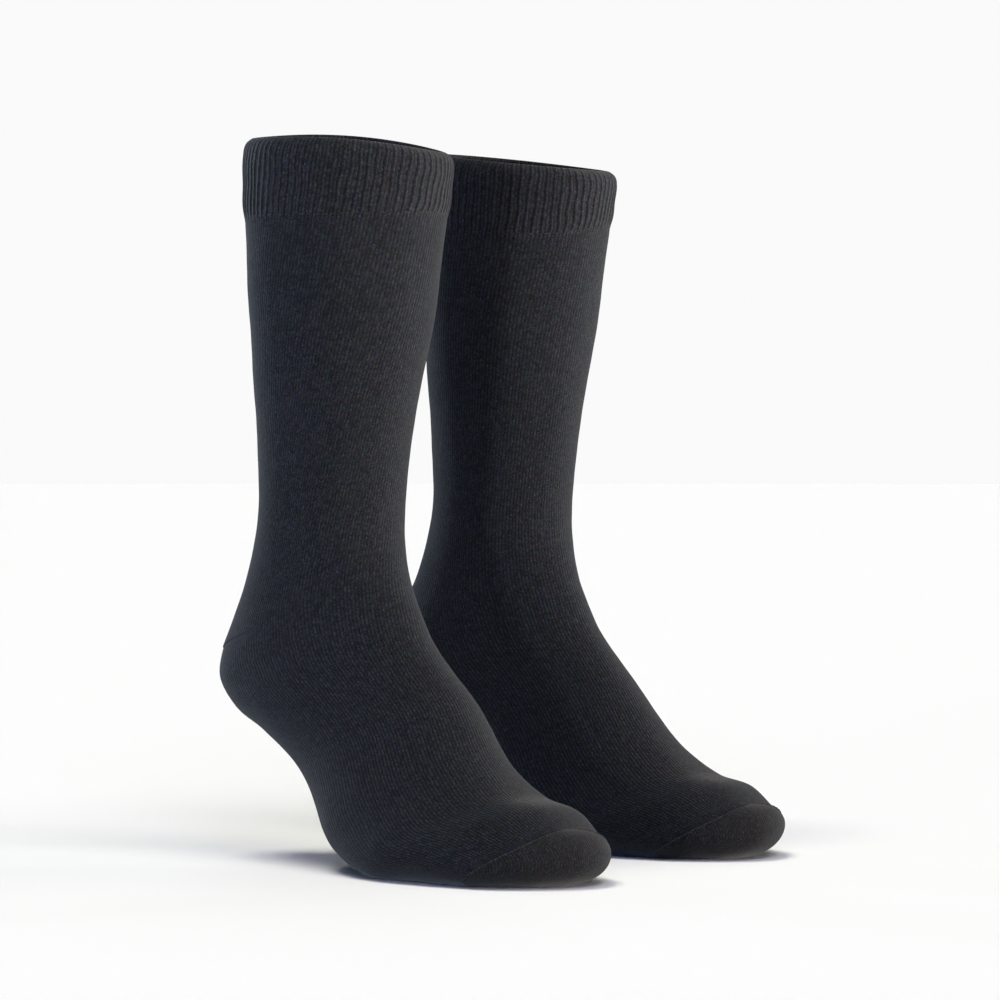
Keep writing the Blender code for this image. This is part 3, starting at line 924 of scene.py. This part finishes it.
# The bright wall behind is only seen: the panels alone light the pair
world = bpy.data.worlds.new("bright_studio")
world.use_nodes = True
wall = world.node_tree.nodes["Background"]
wall.inputs["Color"].default_value = (BRIGHT, BRIGHT, BRIGHT, 1.0)
seen = world.node_tree.nodes.new("ShaderNodeLightPath")
world.node_tree.links.new(seen.outputs["Is Camera Ray"], wall.inputs["Strength"])
bpy.context.scene.world = world
bpy.context.scene.view_settings.view_transform = "Standard"

CAMERA_PLACE = (-1.7148, -1.6711, 0.0683)
CAMERA_AZIMUTH = -46.705
CAMERA_PITCH = -0.962
LENS = 170.45            # millimetres, as the sensor's width is
SENSOR = 36.0
camera = bpy.data.objects.new("camera", bpy.data.cameras.new("camera"))
camera.data.lens = LENS
camera.data.sensor_width = SENSOR
camera.location = CAMERA_PLACE
camera.rotation_euler = (np.radians(90 + CAMERA_PITCH), 0.0, np.radians(CAMERA_AZIMUTH))
bpy.context.scene.collection.objects.link(camera)
bpy.context.scene.camera = camera

# Each panel is a sun lamp as wide as the panel looks: degrees round to the right from the camera and up
# from the floor, degrees that it spans, its strength and its colour
Panel = namedtuple("Panel", "name around up span strength colour")
PANELS = (
    Panel("front_left",   -20,  1,  5, 0.54, (0.82, 0.88, 1.00)),
    Panel("left_front",   -45,  1,  5, 0.36, (0.79, 0.95, 1.00)),
    Panel("left",         -90,  1,  5, 0.49, (0.20, 0.46, 1.00)),
    Panel("left_rear",   -135,  1,  5, 0.60, (0.65, 0.83, 1.00)),
    Panel("right",         75,  1,  5, 1.19, (1.00, 0.85, 0.87)),
    Panel("right_side",    90,  1,  5, 1.20, (1.00, 0.92, 0.73)),
    Panel("right_rear",   120,  1,  5, 1.16, (0.91, 1.00, 0.98)),
    Panel("raised_front",   0, 30, 30, 0.35, (0.64, 0.63, 1.00)),
    Panel("high_right",    30, 55, 30, 0.33, (1.00, 1.00, 0.95)),
    Panel("high_rear",    180, 55, 30, 0.11, (0.87, 0.93, 1.00)),
    Panel("overhead",     -60, 75, 25, 0.58, (1.00, 0.99, 0.87)),
)
for panel in PANELS:
    light = bpy.data.lights.new(f"{panel.name}_panel", "SUN")
    light.energy = panel.strength * np.pi
    light.color = panel.colour
    light.angle = np.radians(panel.span)
    stand = bpy.data.objects.new(f"{panel.name}_panel", light)
    stand.rotation_euler = (np.radians(90 - panel.up), 0.0, np.radians(CAMERA_AZIMUTH + panel.around))
    bpy.context.scene.collection.objects.link(stand)
